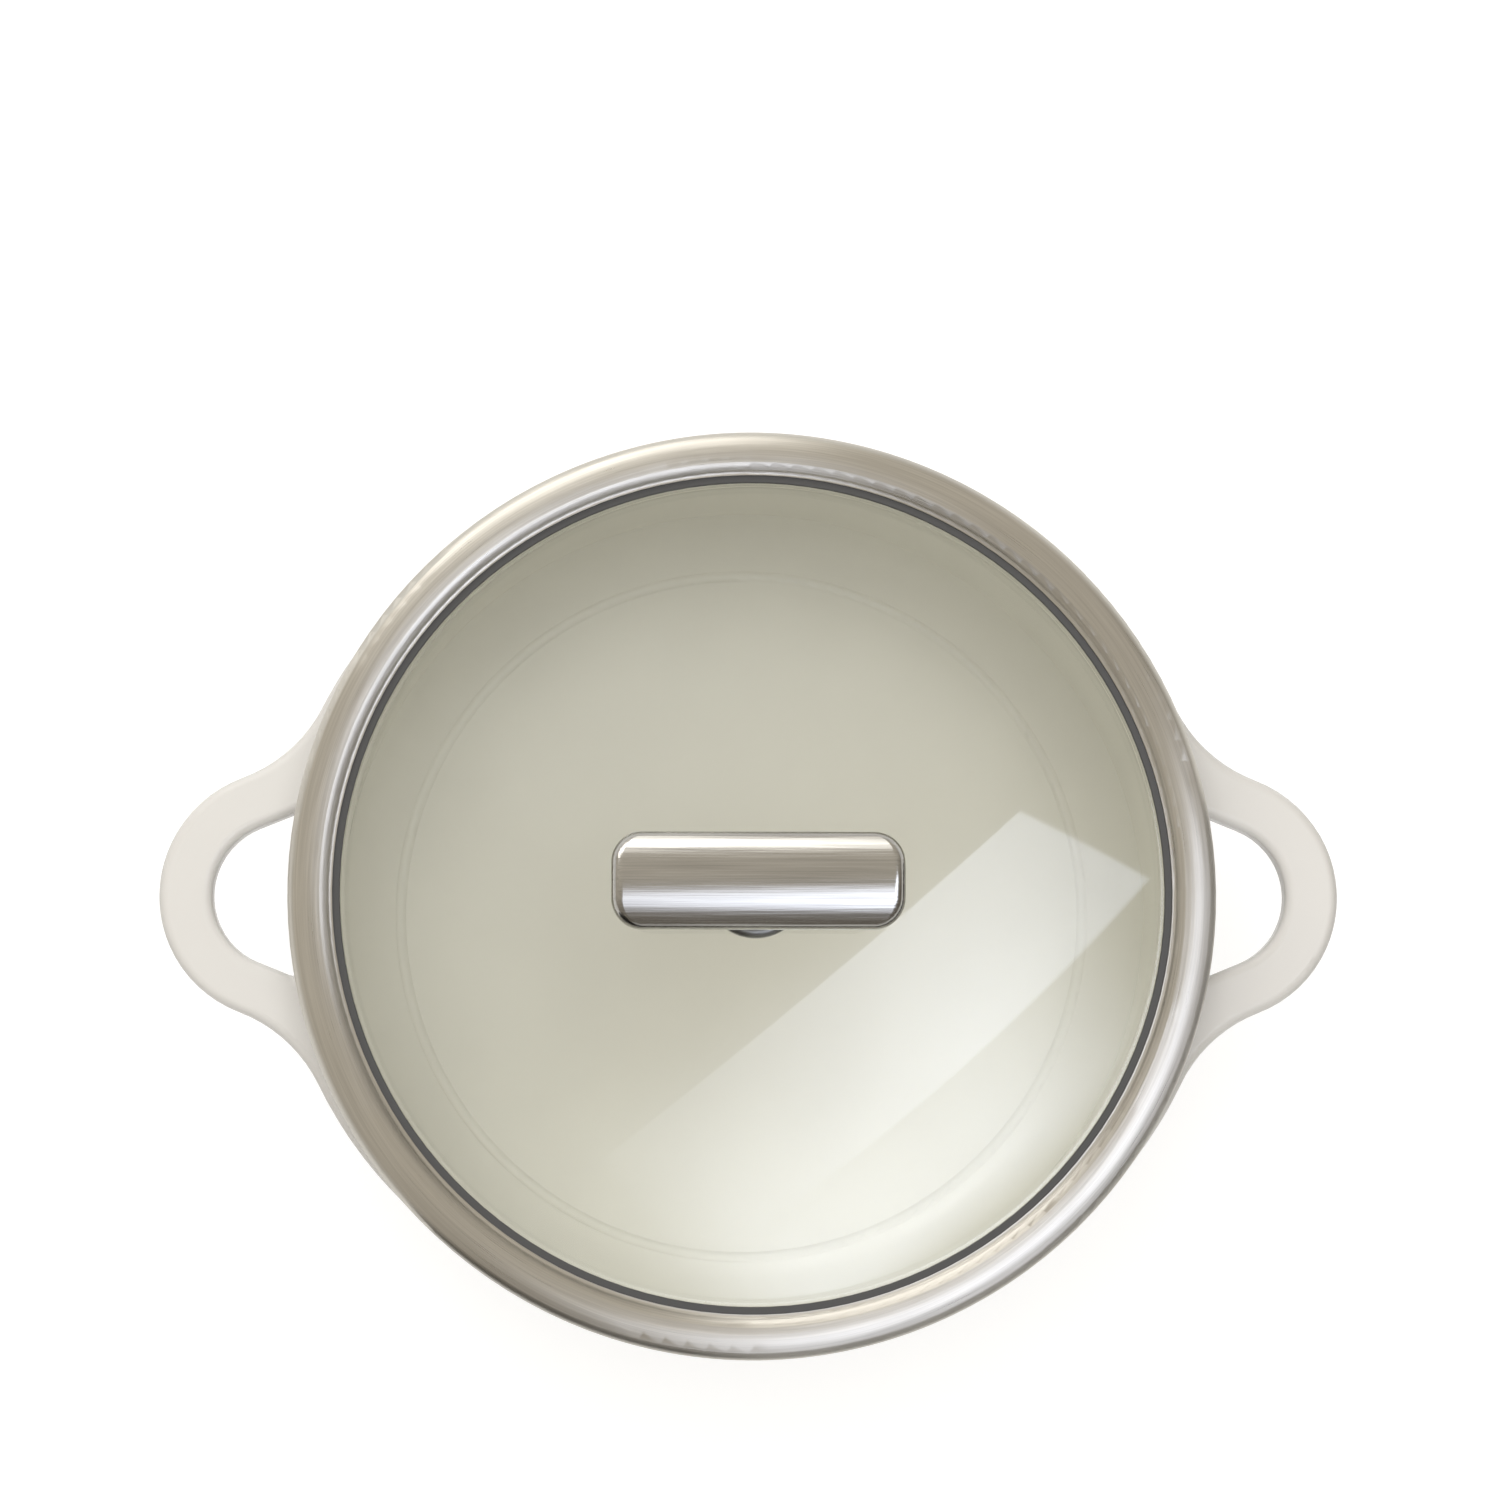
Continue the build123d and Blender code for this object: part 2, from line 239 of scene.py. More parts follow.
def add_node(tree, kind, inputs=None, **settings):
    """Add a node, set its properties, and set or link its inputs by name or number."""
    node = tree.nodes.new(kind)
    for name, value in settings.items():
        setattr(node, name, value)
    for key, value in (inputs or {}).items():
        if isinstance(value, bpy.types.NodeSocket):
            tree.links.new(value, node.inputs[key])
        else:
            node.inputs[key].default_value = value
    return node


def maths(tree, operation, *values):
    """Math node's result."""
    node = add_node(tree, "ShaderNodeMath", dict(enumerate(values)), operation=operation)
    return node.outputs[0]


def vector_maths(tree, operation, *values):
    """Vector Math node's vector result."""
    node = add_node(tree, "ShaderNodeVectorMath", dict(enumerate(values)), operation=operation)
    return node.outputs[0]


def stretched(tree, vector, factor):
    """Vector or colour times a number."""
    node = add_node(tree, "ShaderNodeVectorMath", {0: vector, "Scale": factor}, operation="SCALE")
    return node.outputs[0]


def blend_colours(tree, amount, first, second):
    """Mix node's colour, from first at 0 to second at 1; sockets 6, 7 and 2 are its colours."""
    inputs = {0: amount, 6: first, 7: second}
    return add_node(tree, "ShaderNodeMix", inputs, data_type="RGBA", clamp_factor=True).outputs[2]


def spread(tree, value, low, high):
    """Map Range from 0..1 to low..high."""
    node = add_node(tree, "ShaderNodeMapRange", {"Value": value, "To Min": low, "To Max": high})
    return node.outputs[0]


def about(tree, value, middle, change):
    """Number that a value of 0..1 takes from one share under the middle to one share over it."""
    return spread(tree, value, middle * (1 - change), middle * (1 + change))


def smooth_step(tree, value, start, end):
    """Number that rises smoothly from 0 at start to 1 at end."""
    node = add_node(
        tree,
        "ShaderNodeMapRange",
        {"Value": value, "From Min": start, "From Max": end},
        interpolation_type="SMOOTHSTEP",
    )
    return node.outputs[0]


def noise(tree, place, scale, detail):
    """Noise texture's value."""
    node = add_node(tree, "ShaderNodeTexNoise", {"Vector": place, "Scale": scale, "Detail": detail})
    return node.outputs[0]


def round_axis(tree, place):
    """Distance of a place from the Z axis, its vector from there, and its height."""
    parts = add_node(tree, "ShaderNodeSeparateXYZ", {0: place})
    flat = add_node(tree, "ShaderNodeCombineXYZ", {"X": parts.outputs["X"], "Y": parts.outputs["Y"]})
    radius = add_node(tree, "ShaderNodeVectorMath", {0: flat.outputs[0]}, operation="LENGTH")
    return radius.outputs["Value"], flat.outputs[0], parts.outputs["Z"]


def opaque(rgb):
    """Colour with full alpha."""
    return (*rgb, 1.0)


def scaled(rgb, factor):
    """Colour made lighter or darker, with full alpha."""
    return (*(min(1.0, channel * factor) for channel in rgb), 1.0)


def mottled(tree, mottle, rgb, change):
    """Colour that the mottle takes from one share darker to one share lighter."""
    return blend_colours(tree, mottle, scaled(rgb, 1 - change), scaled(rgb, 1 + change))


def new_group(name, inputs, outputs):
    """Shader node group with its sockets, and its input and output nodes."""
    tree = bpy.data.node_groups.new(name, "ShaderNodeTree")
    for socket, kind in inputs.items():
        tree.interface.new_socket(socket, in_out="INPUT", socket_type=kind)
    for socket, kind in outputs.items():
        tree.interface.new_socket(socket, in_out="OUTPUT", socket_type=kind)
    return tree, tree.nodes.new("NodeGroupInput"), tree.nodes.new("NodeGroupOutput")


def shared_group(name, build):
    """Group of that name, built the first time it is asked for."""
    return bpy.data.node_groups.get(name) or build(name)


def give_lines(tree, result, fine, broad):
    """Put out the mean of fine and broad lines, and the broad ones by themselves."""
    tree.links.new(maths(tree, "MULTIPLY", maths(tree, "ADD", fine, broad), 0.5), result.inputs["Lines"])
    tree.links.new(broad, result.inputs["Streaks"])


def build_turned_lines(name):
    """Lines round the Z axis: noise on a circle of the angle and on radius plus height, fine and broad."""
    tree, given, result = new_group(
        name,
        {"Vector": "NodeSocketVector", "Spacing": "NodeSocketFloat", "Sweep": "NodeSocketFloat"},
        {"Lines": "NodeSocketFloat", "Streaks": "NodeSocketFloat"},
    )
    radius, flat, height = round_axis(tree, given.outputs["Vector"])
    across = maths(tree, "DIVIDE", maths(tree, "ADD", radius, height), given.outputs["Spacing"])
    around = stretched(tree, vector_maths(tree, "NORMALIZE", flat), given.outputs["Sweep"])
    layers = []
    for coarseness in (1.0, BROAD_LINES):
        step = add_node(tree, "ShaderNodeCombineXYZ", {"Z": maths(tree, "DIVIDE", across, coarseness)})
        spot = vector_maths(tree, "ADD", around, step.outputs[0])
        layers.append(noise(tree, spot, 1.0, LINE_DETAIL))
    give_lines(tree, result, *layers)
    return tree


def build_drawn_lines(name):
    """Lines along X: noise stretched to the line length on X, fine and broad on Y and Z."""
    tree, given, result = new_group(
        name,
        {"Vector": "NodeSocketVector", "Spacing": "NodeSocketFloat", "Length": "NodeSocketFloat"},
        {"Lines": "NodeSocketFloat", "Streaks": "NodeSocketFloat"},
    )
    layers = []
    for coarseness in (1.0, BROAD_LINES):
        width = maths(tree, "MULTIPLY", given.outputs["Spacing"], coarseness)
        size = add_node(
            tree, "ShaderNodeCombineXYZ", {"X": given.outputs["Length"], "Y": width, "Z": width}
        )
        spot = vector_maths(tree, "DIVIDE", given.outputs["Vector"], size.outputs[0])
        layers.append(noise(tree, spot, 1.0, LINE_DETAIL))
    give_lines(tree, result, *layers)
    return tree


def build_brushed_finish(name):
    """Colour and roughness of brushed steel from its lines, with faint broad handling marks."""
    tree, given, result = new_group(
        name,
        {
            "Lines": "NodeSocketFloat",
            "Vector": "NodeSocketVector",
            "Color": "NodeSocketColor",
            "Roughness": "NodeSocketFloat",
        },
        {"Color": "NodeSocketColor", "Roughness": "NodeSocketFloat"},
    )
    tone = about(tree, given.outputs["Lines"], 1.0, TONE_CHANGE)
    shade = stretched(tree, given.outputs["Color"], tone)
    marks = noise(tree, given.outputs["Vector"], MARK_SCALE, 2.0)
    streaks = about(tree, given.outputs["Lines"], 1.0, STREAK_CHANGE)
    streaked = maths(tree, "MULTIPLY", given.outputs["Roughness"], streaks)
    marked = maths(tree, "MULTIPLY", streaked, about(tree, marks, 1.0, MARK_CHANGE))
    tree.links.new(shade, result.inputs["Color"])
    tree.links.new(marked, result.inputs["Roughness"])
    return tree


def build_fine_skin(name):
    """Skin of a coated or moulded surface: a broad mottle and a fine height, both from noise."""
    tree, given, result = new_group(
        name,
        {"Vector": "NodeSocketVector", "Grain": "NodeSocketFloat"},
        {"Mottle": "NodeSocketFloat", "Height": "NodeSocketFloat"},
    )
    mottle = noise(tree, given.outputs["Vector"], MOTTLE_SCALE, 3.0)
    fine = maths(tree, "DIVIDE", 1.0, given.outputs["Grain"])
    height = noise(tree, given.outputs["Vector"], fine, 1.0)
    tree.links.new(mottle, result.inputs["Mottle"])
    tree.links.new(height, result.inputs["Height"])
    return tree


def new_material(name):
    """Empty node material, with its output node."""
    material = bpy.data.materials.new(name)
    material.use_nodes = True
    material.node_tree.nodes.clear()
    return material, material.node_tree, material.node_tree.nodes.new("ShaderNodeOutputMaterial")


def own_place(tree):
    """Place on the piece, in metres."""
    return tree.nodes.new("ShaderNodeTexCoord").outputs["Object"]


def use_group(tree, name, build, inputs):
    """Shared node group placed in a material."""
    return add_node(tree, "ShaderNodeGroup", inputs, node_tree=shared_group(name, build))


def fine_skin(tree, place, grain):
    """Fine skin of a given grain, in metres, placed in a material."""
    return use_group(tree, "Fine Skin", build_fine_skin, {"Vector": place, "Grain": grain})


def raised(tree, height, depth, strength):
    """Normal from a height that is depth metres from low to high."""
    node = add_node(
        tree, "ShaderNodeBump", {"Height": height, "Distance": depth, "Strength": strength}
    )
    return node.outputs[0]


def steel_material(name, base, roughness, finish, straight=False, sweep=SHORT_LINES):
    """Brushed steel: lines round Z, or along X if straight, which stretch the highlight across them."""
    material, tree, out = new_material(name)
    place = own_place(tree)
    given = {"Vector": place, "Spacing": finish.line_spacing}
    if straight:
        given["Length"] = finish.line_length
        lines = use_group(tree, "Drawn Lines", build_drawn_lines, given)
    else:
        given["Sweep"] = sweep
        lines = use_group(tree, "Turned Lines", build_turned_lines, given)
    look = use_group(
        tree,
        "Brushed Finish",
        build_brushed_finish,
        {"Lines": lines.outputs["Lines"], "Vector": place, "Color": opaque(base), "Roughness": roughness},
    )
    tangent = add_node(
        tree, "ShaderNodeTangent", direction_type="RADIAL", axis="X" if straight else "Z"
    )
    shader = add_node(
        tree,
        "ShaderNodeBsdfPrincipled",
        {
            "Base Color": look.outputs["Color"],
            "Metallic": 1.0,
            "Roughness": look.outputs["Roughness"],
            "Anisotropic": finish.brush,
            "Anisotropic Rotation": 0.0 if straight else ACROSS_LINES,
            "Tangent": tangent.outputs[0],
            "Normal": raised(tree, lines.outputs["Streaks"], *BRUSH_RELIEF),
        },
    )
    tree.links.new(shader.outputs[0], out.inputs[0])
    return material


def coat_material(finish):
    """White coat, with the lining where the surface lies inside the lip and doesn't face down."""
    material, tree, out = new_material("ceramic_coat")
    place = own_place(tree)
    skin = fine_skin(tree, place, COAT_GRAIN)
    radius = round_axis(tree, place)[0]
    inside = maths(tree, "LESS_THAN", radius, LIP_RADIUS - finish.wall)
    normal = tree.nodes.new("ShaderNodeNewGeometry").outputs["Normal"]
    facing = add_node(tree, "ShaderNodeSeparateXYZ", {0: normal})
    upward = maths(tree, "GREATER_THAN", facing.outputs["Z"], UPWARD)
    lined = maths(tree, "MULTIPLY", inside, upward)
    mottle = skin.outputs["Mottle"]
    coat = mottled(tree, mottle, finish.coat, COAT_CHANGE)
    lining = mottled(tree, mottle, finish.lining, LINING_CHANGE)
    coat_gloss = about(tree, mottle, finish.coat_roughness, GLOSS_CHANGE)
    lining_gloss = about(tree, mottle, finish.lining_roughness, GLOSS_CHANGE)
    gloss = add_node(
        tree, "ShaderNodeMix", {0: lined, 2: coat_gloss, 3: lining_gloss}, data_type="FLOAT"
    )
    shader = add_node(
        tree,
        "ShaderNodeBsdfPrincipled",
        {
            "Base Color": blend_colours(tree, lined, coat, lining),
            "Roughness": gloss.outputs[0],
            "Specular IOR Level": finish.coat_shine,
            "Normal": raised(tree, skin.outputs["Height"], *COAT_RELIEF),
        },
    )
    tree.links.new(shader.outputs[0], out.inputs[0])
    return material


def silicone_material(finish):
    """Matt dark silicone with a fine moulded grain."""
    material, tree, out = new_material("dark_silicone")
    skin = fine_skin(tree, own_place(tree), SILICONE_GRAIN)
    mottle = skin.outputs["Mottle"]
    shader = add_node(
        tree,
        "ShaderNodeBsdfPrincipled",
        {
            "Base Color": mottled(tree, mottle, finish.silicone, SILICONE_CHANGE),
            "Roughness": spread(tree, mottle, *SILICONE_ROUGHNESS),
            "Normal": raised(tree, skin.outputs["Height"], *SILICONE_RELIEF),
        },
    )
    tree.links.new(shader.outputs[0], out.inputs[0])
    return material


def glass_material(finish):
    """Clear glass with faint smears; light for what lies under it passes straight through."""
    material, tree, out = new_material("lid_glass_clear")
    skin = fine_skin(tree, own_place(tree), SMEAR_GRAIN)
    glass = add_node(
        tree,
        "ShaderNodeBsdfPrincipled",
        {
            "Base Color": opaque(finish.glass),
            "Roughness": spread(tree, skin.outputs["Mottle"], 0.0, SMEAR_ROUGHNESS),
            "IOR": GLASS_INDEX,
            "Transmission Weight": 1.0,
        },
    )
    clear = add_node(tree, "ShaderNodeBsdfTransparent", {"Color": scaled(finish.glass, GLASS_CLEAR)})
    path = tree.nodes.new("ShaderNodeLightPath")
    lit = add_node(
        tree,
        "ShaderNodeMixShader",
        {0: path.outputs["Is Diffuse Ray"], 1: glass.outputs[0], 2: clear.outputs[0]},
    )
    shaded = add_node(
        tree,
        "ShaderNodeMixShader",
        {0: path.outputs["Is Shadow Ray"], 1: lit.outputs[0], 2: clear.outputs[0]},
    )
    tree.links.new(shaded.outputs[0], out.inputs[0])
    return material


def finish_nodes(material, *names):
    """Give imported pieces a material."""
    for name in names:
        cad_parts[name].material_slots[0].material = material


def grid_object(name, points, closed_start=False, closed_end=False, looped=False):
    """Mesh of rows by columns whose columns close on themselves; rows close on points or on themselves."""
    rows, columns = points.shape[:2]
    row, column = np.meshgrid(np.arange(rows if looped else rows - 1), np.arange(columns), indexing="ij")
    after = (column + 1) % columns
    above = (row + 1) % rows
    quads = np.stack(
        [row * columns + column, row * columns + after, above * columns + after, above * columns + column],
        axis=-1,
    ).reshape(-1, 4)
    vertices = points.reshape(-1, 3)
    faces = quads.tolist()
    ring = np.arange(columns)
    for closed, start in ((closed_start, 0), (closed_end, (rows - 1) * columns)):
        if closed:
            middle = len(vertices)
            vertices = np.vstack([vertices, points[0 if start == 0 else -1].mean(axis=0)])
            fan = np.stack([np.full(columns, middle), start + (ring + 1) % columns, start + ring], axis=-1)
            faces += (fan if start == 0 else fan[:, ::-1]).tolist()
    mesh = bpy.data.meshes.new(name)
    mesh.from_pydata(vertices.tolist(), [], faces)
    mesh.validate()
    piece = bpy.data.objects.new(name, mesh)
    bpy.context.scene.collection.objects.link(piece)
    return piece


def finish_grid(piece, material):
    """Give a new piece its material, and smooth it but for its sharp edges."""
    piece.data.materials.append(material)
    piece.data.shade_smooth()
    piece.data.set_sharp_from_angle(angle=SHARP_EDGE)


def turned(radius, angle, height):
    """Points at a radius, an angle round Z and a height, each by rows and columns."""
    radius, angle, height = np.broadcast_arrays(radius, angle, height)
    return np.stack([radius * np.cos(angle), radius * np.sin(angle), height], axis=-1)


def cross_reach(angle, half_length, half_width):
    """From the middle of a cross to its outline: the farther of the outlines of its two bars."""
    across = np.maximum(np.abs(np.cos(angle)), TINY)
    up = np.maximum(np.abs(np.sin(angle)), TINY)
    lying = np.minimum(half_length / across, half_width / up)
    standing = np.minimum(half_width / across, half_length / up)
    return np.maximum(lying, standing)


def screw_surface(finish):
    """Screw by rows of radius and height over the angle, from the middle of its recess up to its tip.

    The thread's radius falls from the crest to the root with the distance, along the axis, from a helix
    that climbs one pitch in a turn, and the thread runs out over one pitch at its lower end.
    """
    half_length, half_width = finish.recess_length / 2, finish.recess_width / 2
    tips = np.arctan2(half_width, half_length)
    corners = (np.arange(4)[:, None] * pi / 2 + np.array([-tips, tips, pi / 4])).ravel() % (2 * pi)
    angle = np.unique(np.concatenate([np.linspace(0, 2 * pi, SCREW_COLUMNS, endpoint=False), corners]))
    low, head_top, tip = SCREW_LOW.z, WASHER_LOW, SCREW_HIGH.z
    head = SCREW_HIGH.x
    shank = finish.screw_diameter / 2
    level_ring = np.ones_like(angle)
    cross = cross_reach(angle, half_length, half_width)
    bend = np.linspace(0, pi / 2, ROUND_ROWS)
    bend_radius = head - finish.head_round * (1 - np.sin(bend))
    bend_height = low + finish.head_round * (1 - np.cos(bend))
    head_radius = np.concatenate([bend_radius, [head, shank]])
    head_height = np.concatenate([bend_height, [head_top, head_top]])
    start = tip - finish.thread_length
    climb = np.arange(start, tip - finish.thread_pitch / 2, finish.thread_pitch / THREAD_ROWS)
    height = np.concatenate([[head_top], climb])
    turn = height[:, None] / finish.thread_pitch - angle / (2 * pi)
    from_crest = np.abs(2 * (turn % 1) - 1)
    valley = np.clip((1 + 2 * THREAD_FLAT) * from_crest - THREAD_FLAT, 0, 1)
    run_in = np.clip((height - start) / finish.thread_pitch, 0, 1)[:, None]
    radius = np.vstack(
        [
            cross * RECESS_INNER,
            cross,
            cross,
            np.outer(head_radius, level_ring),
            shank - finish.thread_depth * valley * run_in,
            (shank - finish.thread_depth * TIP_TAPER) * level_ring,
        ]
    )
    rise = np.vstack(
        [
            (low + finish.recess_depth) * np.ones((2, angle.size)),
            low * level_ring,
            np.outer(head_height, level_ring),
            np.outer(height, level_ring),
            tip * level_ring,
        ]
    )
    return turned(radius, angle, rise)


def glass_surface(finish):
    """Glass by a closed section turned about Z: flat land, dome, blend and flat edge, above and below.

    The dome is a sphere on the axis through the edge of the land and the inner edge of the flat. Below it
    lies the sphere that is one thickness smaller. The blend is the arc that touches the dome and the flat.
    """
    low, high, edge = GLASS_LOW.z, GLASS_HIGH.z, GLASS_HIGH.x
    thick, blend, hole = finish.glass_thick, finish.glass_blend, finish.glass_hole / 2
    flat = low + thick
    middle = (high + flat) / 2 - (finish.dome_radius**2 - LAND_RADIUS**2) / (2 * (high - flat))
    outer = np.hypot(finish.dome_radius, flat - middle)
    inner = outer - thick
    slope = np.arcsin(finish.dome_radius / outer)
    blend_middle = np.sqrt((outer + blend) ** 2 - (flat + blend - middle) ** 2)
    meeting = np.arcsin(blend_middle / (outer + blend))
    under = np.linspace(np.arccos((high - thick - middle) / inner), slope, DOME_ROWS)
    bend = np.linspace(slope, 0, ROUND_ROWS)[1:]
    rise = np.linspace(0, meeting, ROUND_ROWS)
    over = np.linspace(meeting, np.arcsin(LAND_RADIUS / outer), DOME_ROWS)[1:]
    radius = np.concatenate(
        [
            [hole],
            inner * np.sin(under),
            finish.dome_radius - thick * np.sin(bend),
            [edge, edge],
            blend_middle - blend * np.sin(rise),
            outer * np.sin(over),
            [hole],
        ]
    )
    height = np.concatenate(
        [
            [high - thick],
            middle + inner * np.cos(under),
            flat - thick * np.cos(bend),
            [low, flat],
            flat + blend * (1 - np.cos(rise)),
            middle + outer * np.cos(over),
            [high],
        ]
    )
    angle = np.linspace(0, 2 * pi, GLASS_COLUMNS, endpoint=False)
    return turned(radius[:, None], angle, height[:, None])


def bell(tree, value, rise, fall):
    """Strength that rises over the first share of 0..1 and falls over the last share."""
    up = smooth_step(tree, value, 0.0, rise)
    down = smooth_step(tree, value, 1.0, 1.0 - fall)
    return maths(tree, "MULTIPLY", up, down)


def softbox(name, place, facing, along, size, radiance, soft_along, soft_across, slant=0.0, tint=WHITE):
    """Area lamp with its long side along a direction; each edge fades over its share, the end can slant."""
    toward = -Vector(facing).normalized()
    side = Vector(along)
    side = (side - side.dot(toward) * toward).normalized()
    light = bpy.data.lights.new(name, "AREA")
    light.shape = "RECTANGLE"
    light.size, light.size_y = size
    light.energy = radiance * pi * size[0] * size[1]
    light.color = tint
    light.use_nodes = True
    tree = light.node_tree
    face = tree.nodes.new("ShaderNodeNewGeometry").outputs["Parametric"]
    spot = add_node(tree, "ShaderNodeSeparateXYZ", {0: face})
    slanted = maths(tree, "MULTIPLY_ADD", spot.outputs["Y"], slant, spot.outputs["X"])
    strength = maths(
        tree, "MULTIPLY", bell(tree, slanted, *soft_along), bell(tree, spot.outputs["Y"], *soft_across)
    )
    tree.links.new(strength, tree.nodes["Emission"].inputs["Strength"])
    lamp = bpy.data.objects.new(name, light)
    turn = Matrix((side, toward.cross(side), toward)).transposed().to_4x4()
    lamp.matrix_world = Matrix.Translation(place) @ turn
    lamp.visible_camera = False
    bpy.context.scene.collection.objects.link(lamp)
    return lamp


def lay_floor(studio):
    """Pale floor: height is a quarter wave of the radius past the flat, so that it turns up at its edge."""
    flat, reach = studio.floor_flat, studio.floor_reach
    radius = np.concatenate(
        [
            [FLOOR_MIDDLE],
            np.linspace(FLOOR_FIRST, flat, FLAT_ROWS),
            np.linspace(flat + FLOOR_STEP, reach, COVE_ROWS),
        ]
    )
    angle = np.linspace(2 * pi, 0, FLOOR_COLUMNS, endpoint=False)
    turned_up = np.clip((radius - flat) / (reach - flat), 0, 1)
    rise = studio.cove * (1 - np.cos(turned_up * pi / 2)) - studio.floor_drop
    points = turned(radius[:, None], angle, rise[:, None])
    floor = grid_object("studio_floor", points, closed_start=True)
    material, tree, out = new_material("pale_floor")
    path = tree.nodes.new("ShaderNodeLightPath")
    seen = maths(tree, "MAXIMUM", path.outputs["Is Camera Ray"], path.outputs["Is Glossy Ray"])
    seen = maths(tree, "MAXIMUM", seen, path.outputs["Is Transmission Ray"])
    scatter = add_node(tree, "ShaderNodeBsdfDiffuse", {"Color": opaque(studio.floor)})
    glow = add_node(
        tree, "ShaderNodeEmission", {"Strength": maths(tree, "MULTIPLY", seen, studio.floor_glow)}
    )
    both = add_node(tree, "ShaderNodeAddShader", {0: scatter.outputs[0], 1: glow.outputs[0]})
    tree.links.new(both.outputs[0], out.inputs[0])
    floor.data.materials.append(material)


def stand_flag(studio):
    """Dark card that only steel and coat mirror: a thin wall on an arc from front left to right.

    Its height is a constant plus a squared cosine of the angle from its peak. Its top fades out.
    """
    angle = np.radians(np.linspace(FLAG_START, FLAG_END, FLAG_STATIONS))
    from_peak = np.clip((angle - np.radians(FLAG_PEAK)) / np.radians(FLAG_SPREAD), -1, 1)
    top = studio.flag_height + studio.flag_peak * np.cos(from_peak * pi / 2) ** 2
    near, far = studio.flag_radius, studio.flag_radius + FLAG_THICK
    radius = np.outer(np.ones_like(angle), [near, far, far, near])
    rise = np.stack([np.zeros_like(top), np.zeros_like(top), top, top], axis=-1)
    points = turned(radius, angle[:, None], rise)
    card = grid_object("dark_flag", points, closed_start=True, closed_end=True)
    card.visible_camera = False
    card.visible_diffuse = False
    card.visible_transmission = False
    card.visible_shadow = False
    # Two low and two high corners at each station, then the middles of the two ends
    heights = np.append(np.tile([0.0, 0.0, 1.0, 1.0], FLAG_STATIONS), [0.5, 0.5])
    height_share = card.data.attributes.new("height_share", "FLOAT", "POINT")
    height_share.data.foreach_set("value", heights)
    material, tree, out = new_material("black_card")
    scatter = add_node(tree, "ShaderNodeBsdfDiffuse", {"Color": opaque(FLAG_SHADE)})
    height = add_node(tree, "ShaderNodeAttribute", attribute_name="height_share")
    fade = smooth_step(tree, height.outputs["Fac"], FLAG_FADE, 1.0)
    clear = tree.nodes.new("ShaderNodeBsdfTransparent")
    soft = add_node(tree, "ShaderNodeMixShader", {0: fade, 1: scatter.outputs[0], 2: clear.outputs[0]})
    tree.links.new(soft.outputs[0], out.inputs[0])
    card.data.materials.append(material)


def hang_lamps(studio):
    """Softboxes: two that glass and steel mirror, one behind, and two large ones that only light."""
    strip = softbox(
        "strip_lamp",
        place=(0.324, -0.171, 1.12),
        facing=DOWN,
        along=MIRRORED_ALONG,
        size=(1.28, 0.313),
        radiance=studio.strip,
        soft_along=(0.9, 0.01),
        soft_across=(0.01, 0.01),
        slant=0.147,
        tint=studio.lamp_tint,
    )
    south = softbox(
        "south_lamp",
        place=(0.3235, -0.3748, 1.25),
        facing=DOWN,
        along=MIRRORED_ALONG,
        size=(1.52, 0.91),
        radiance=studio.south,
        soft_along=(0.27, 0.42),
        soft_across=(0.18, 0.75),
        tint=studio.lamp_tint,
    )
    for mirrored in (strip, south):
        mirrored.visible_diffuse = False
    softbox(
        "north_lamp",
        place=(-0.6, 1.5, 1.1),
        facing=(0.6, -1.5, -1.0),
        along=(0.95, 0.32, 0),
        size=(2.3, 0.8),
        radiance=studio.north,
        soft_along=(0.3, 0.3),
        soft_across=(0.4, 0.45),
    )
    key = softbox(
        "key_lamp",
        place=(0.0, 0.2, 1.7),
        facing=DOWN,
        along=(1, 0, 0),
        size=(1.6, 1.2),
        radiance=studio.key,
        soft_along=(0.2, 0.2),
        soft_across=(0.2, 0.2),
    )
    fill = softbox(
        "fill_lamp",
        place=(0.4, -2.0, 0.38),
        facing=(-0.4, 2.0, -0.28),
        along=(1, 0, 0),
        size=(2.2, 0.6),
        radiance=studio.fill,
        soft_along=(0.2, 0.2),
        soft_across=(0.2, 0.2),
    )
    for lighting in (key, fill):
        lighting.visible_glossy = False
        lighting.visible_transmission = False


def light_world(studio):
    """World that is dark low in front and brighter overhead and behind."""
    world = bpy.data.worlds.new("studio_world")
    bpy.context.scene.world = world
    world.use_nodes = True
    tree = world.node_tree
    tree.nodes.clear()
    view = tree.nodes.new("ShaderNodeTexCoord").outputs["Generated"]
    lean = add_node(tree, "ShaderNodeVectorMath", {0: view, 1: SKY_LEAN}, operation="DOT_PRODUCT")
    rise = smooth_step(tree, lean.outputs["Value"], SKY_DARKEST, SKY_BRIGHTEST)
    sky = blend_colours(tree, rise, opaque(studio.sky_dark), opaque(studio.sky_bright))
    glow = add_node(tree, "ShaderNodeBackground", {"Color": sky, "Strength": 1.0})
    out = tree.nodes.new("ShaderNodeOutputWorld")
    tree.links.new(glow.outputs[0], out.inputs[0])


def set_camera(studio):
    """Camera over the lid, turned so that the middle of the rim falls on its pixel in the photograph."""
    camera = bpy.data.objects.new("photo_camera", bpy.data.cameras.new("photo_camera"))
    camera.data.sensor_width = SENSOR_WIDTH
    camera.data.lens = PHOTO_FOCAL / PHOTO_SIZE * SENSOR_WIDTH
    rim = Vector((0, 0, studio.rim_height))
    camera.location = (studio.camera_side, studio.camera_front, studio.rim_height + studio.camera_rise)
    column, row = (pixel - PHOTO_SIZE / 2 for pixel in PHOTO_RIM_MIDDLE)
    in_frame = Vector((column / PHOTO_FOCAL, -row / PHOTO_FOCAL, -1))
    camera.rotation_mode = "QUATERNION"
    camera.rotation_quaternion = in_frame.rotation_difference(rim - camera.location)
    bpy.context.scene.collection.objects.link(camera)
    bpy.context.scene.camera = camera


